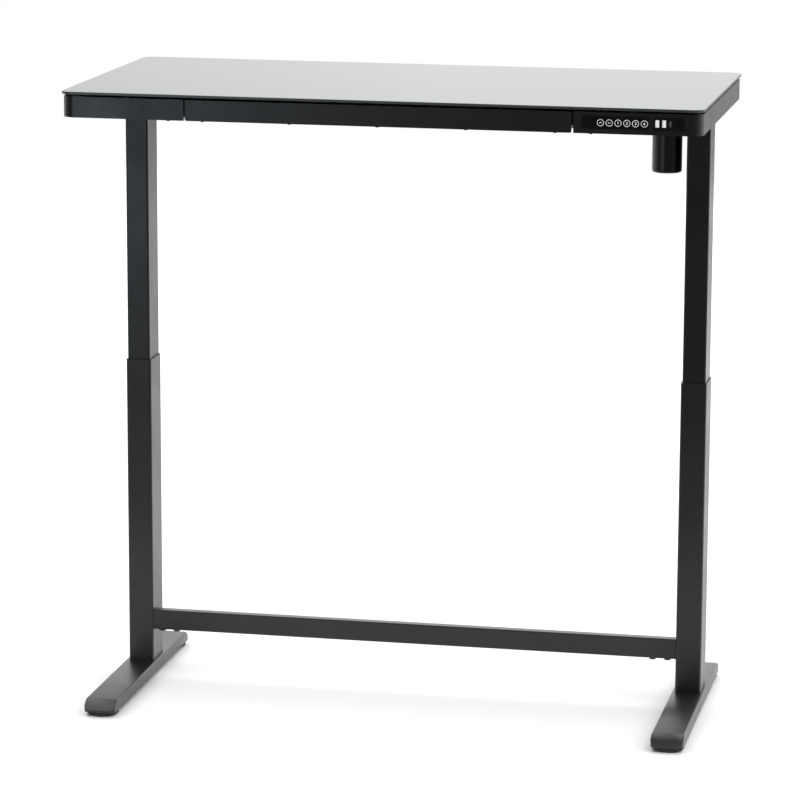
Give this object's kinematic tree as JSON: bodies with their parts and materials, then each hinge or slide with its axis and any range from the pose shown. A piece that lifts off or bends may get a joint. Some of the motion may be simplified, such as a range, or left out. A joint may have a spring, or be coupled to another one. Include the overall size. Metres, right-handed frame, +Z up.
{
  "type": "height adjustable standing desk",
  "caption": "Standing desk with a black glass top, a shallow drawer, a touch panel and motor-driven telescopic columns on long feet.",
  "frame": {"origin": "on the floor under the middle of the top, with the desk fully raised", "axes": "+Z up, +X along the top to the sitter's right, +Y away from the sitter; the drawer opens towards -Y"},
  "size_m": [1.2, 0.6, 1.21],
  "materials": {
    "powder_coat": "fine satin powder coat",
    "black_glass": "polished, opaque black behind",
    "pad_rubber": "plain black rubber",
    "moulded_black": "fine moulded texture",
    "gloss_black": "polished",
    "motor_enamel": "gloss enamel",
    "glide_plastic": "plain",
    "cast_housing": "as cast",
    "ground_steel": "ground",
    "plain_steel": "mill finish",
    "gear_steel": "cut and oiled",
    "black_fastener": "black oxide",
    "nut_brass": "turned",
    "bush_bronze": "sintered",
    "zinc_slide": "zinc plated",
    "board_green": "solder mask",
    "lead_black": "plain",
    "port_metal": "plated",
    "foot_rubber": "moulded"
  },
  "bodies": {
    "base": {"left_foot": "powder_coat", "right_foot": "powder_coat", "left_outer_column": "powder_coat", "right_outer_column": "powder_coat", "upper_glides": "glide_plastic", "column_base_plates": "plain_steel", "nut_posts": "plain_steel", "drive_nuts": "nut_brass", "crossbeam": "powder_coat", "beam_brackets": "plain_steel", "base_bolts": "black_fastener"},
    "top": {"glass_top": "black_glass", "glass_pads": "pad_rubber", "left_apron": "powder_coat", "right_apron": "powder_coat", "rear_apron": "powder_coat", "frame_rails": "powder_coat", "stringers": "powder_coat", "left_underside_cover": "powder_coat", "right_underside_cover": "powder_coat", "centre_underside_cover": "powder_coat", "cover_screws": "black_fastener", "left_inner_column": "powder_coat", "right_inner_column": "powder_coat", "lower_glides": "glide_plastic", "left_column_head": "cast_housing", "right_column_head": "cast_housing", "motor_gear_housing": "motor_enamel", "gear_housing_lids": "cast_housing", "screw_bearings": "ground_steel", "shaft_bushes": "bush_bronze", "housing_bolts": "black_fastener", "motor_can": "motor_enamel", "motor_end_cap": "motor_enamel", "control_box": "moulded_black", "control_box_lid": "moulded_black", "circuit_boards": "board_green", "internal_leads": "lead_black", "power_inlet": "moulded_black", "control_panel": "gloss_black", "usb_plate": "gloss_black", "usb_sockets": "port_metal", "slide_outer_rails": "zinc_slide"},
    "left_screw": {"left_lift_screw": "ground_steel", "left_screw_gear": "gear_steel"},
    "right_screw": {"right_lift_screw": "ground_steel", "right_screw_gear": "gear_steel"},
    "motor_shaft": {"motor_output": "gear_steel"},
    "cross_shaft": {"drive_shaft": "ground_steel", "shaft_pinions": "gear_steel"},
    "drawer": {"drawer_front": "powder_coat", "drawer_tray": "powder_coat", "drawer_screws": "black_fastener", "slide_inner_rails": "zinc_slide"},
    "slide_cages": {"ball_cages": "zinc_slide"},
    "front_left_foot_pad": {"front_left_leveller": "foot_rubber"},
    "rear_left_foot_pad": {"rear_left_leveller": "foot_rubber"},
    "front_right_foot_pad": {"front_right_leveller": "foot_rubber"},
    "rear_right_foot_pad": {"rear_right_leveller": "foot_rubber"}
  },
  "joints": [
    {"name": "lift", "type": "slide", "parent": "base", "child": "top", "axis": [0, 0, 1], "range_m": [-0.485, 0]},
    {"name": "left_screw_spin", "type": "hinge", "parent": "top", "child": "left_screw", "pos_m": [-0.549, 0.08, 1.1], "axis": [0, 0, 1], "continuous": true},
    {"name": "right_screw_spin", "type": "hinge", "parent": "top", "child": "right_screw", "pos_m": [0.549, 0.08, 1.1], "axis": [0, 0, 1], "continuous": true},
    {"name": "motor_spin", "type": "hinge", "parent": "top", "child": "motor_shaft", "pos_m": [0.485, 0.08, 1.1], "axis": [0, 0, 1], "continuous": true},
    {"name": "cross_shaft_spin", "type": "hinge", "parent": "top", "child": "cross_shaft", "pos_m": [0, 0.08, 1.182], "axis": [1, 0, 0], "continuous": true},
    {"name": "drawer_slide", "type": "slide", "parent": "top", "child": "drawer", "axis": [0, -1, 0], "range_m": [0, 0.21]},
    {"name": "ball_cage_slide", "type": "slide", "parent": "top", "child": "slide_cages", "axis": [0, -1, 0], "range_m": [0, 0.105]},
    {"name": "front_left_levelling", "type": "slide", "parent": "base", "child": "front_left_foot_pad", "axis": [0, 0, -1], "range_m": [0, 0.01]},
    {"name": "rear_left_levelling", "type": "slide", "parent": "base", "child": "rear_left_foot_pad", "axis": [0, 0, -1], "range_m": [0, 0.01]},
    {"name": "front_right_levelling", "type": "slide", "parent": "base", "child": "front_right_foot_pad", "axis": [0, 0, -1], "range_m": [0, 0.01]},
    {"name": "rear_right_levelling", "type": "slide", "parent": "base", "child": "rear_right_foot_pad", "axis": [0, 0, -1], "range_m": [0, 0.01]}
  ],
  "couplings": [
    {"joint": "left_screw_spin", "follows": "lift", "rad_per_m": 785.4},
    {"joint": "right_screw_spin", "follows": "lift", "rad_per_m": 785.4},
    {"joint": "motor_spin", "follows": "lift", "rad_per_m": 785.4},
    {"joint": "cross_shaft_spin", "follows": "lift", "rad_per_m": -785.4},
    {"joint": "ball_cage_slide", "follows": "drawer_slide", "ratio": 0.5}
  ]
}
